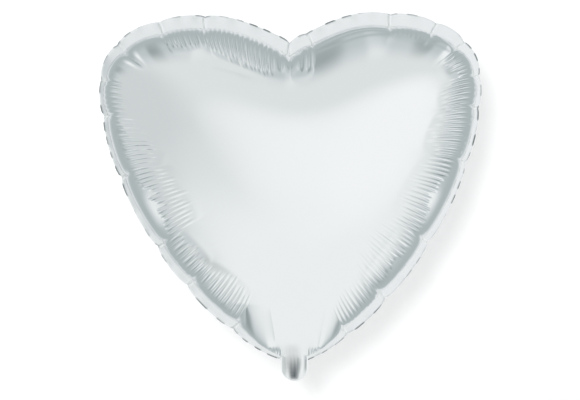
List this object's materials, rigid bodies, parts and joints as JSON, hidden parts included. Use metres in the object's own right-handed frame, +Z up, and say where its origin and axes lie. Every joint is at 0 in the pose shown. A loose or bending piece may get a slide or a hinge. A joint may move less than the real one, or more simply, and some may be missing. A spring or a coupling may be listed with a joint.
{
  "type": "heart-shaped foil balloon",
  "caption": "Inflated heart-shaped foil balloon with a welded rim, an inner valve sleeve and a folding filling tail.",
  "frame": {"origin": "the fold at the neck, between the balloon and its filling tail, on the weld plane; a ribbon or stick clip holds the balloon there", "axes": "+Z up through the notch between the lobes, +X to the right across the lobes, and the front faces -Y"},
  "size_m": [0.3808, 0.168, 0.367],
  "materials": {
    "silver_foil": "bright metallised film, puckered near the weld",
    "weld_band": "heat-sealed film, slightly duller",
    "valve_film": "clear milky polythene film",
    "release_coat": "matt printed release coat"
  },
  "bodies": {
    "envelope": {"front_panel": "silver_foil", "back_panel": "silver_foil", "seam_weld": "weld_band", "valve_front_film": "valve_film", "valve_back_film": "valve_film", "valve_weld_right": "valve_film", "valve_weld_left": "valve_film", "valve_release_coat": "release_coat"},
    "tail": {"tail_front_ply": "silver_foil", "tail_back_ply": "silver_foil", "tail_weld_right": "weld_band", "tail_weld_left": "weld_band"}
  },
  "joints": [
    {"name": "tail_fold", "type": "hinge", "parent": "envelope", "child": "tail", "pos_m": [0, 0, 0], "axis": [1, 0, 0], "range_deg": [-90, 90]}
  ]
}
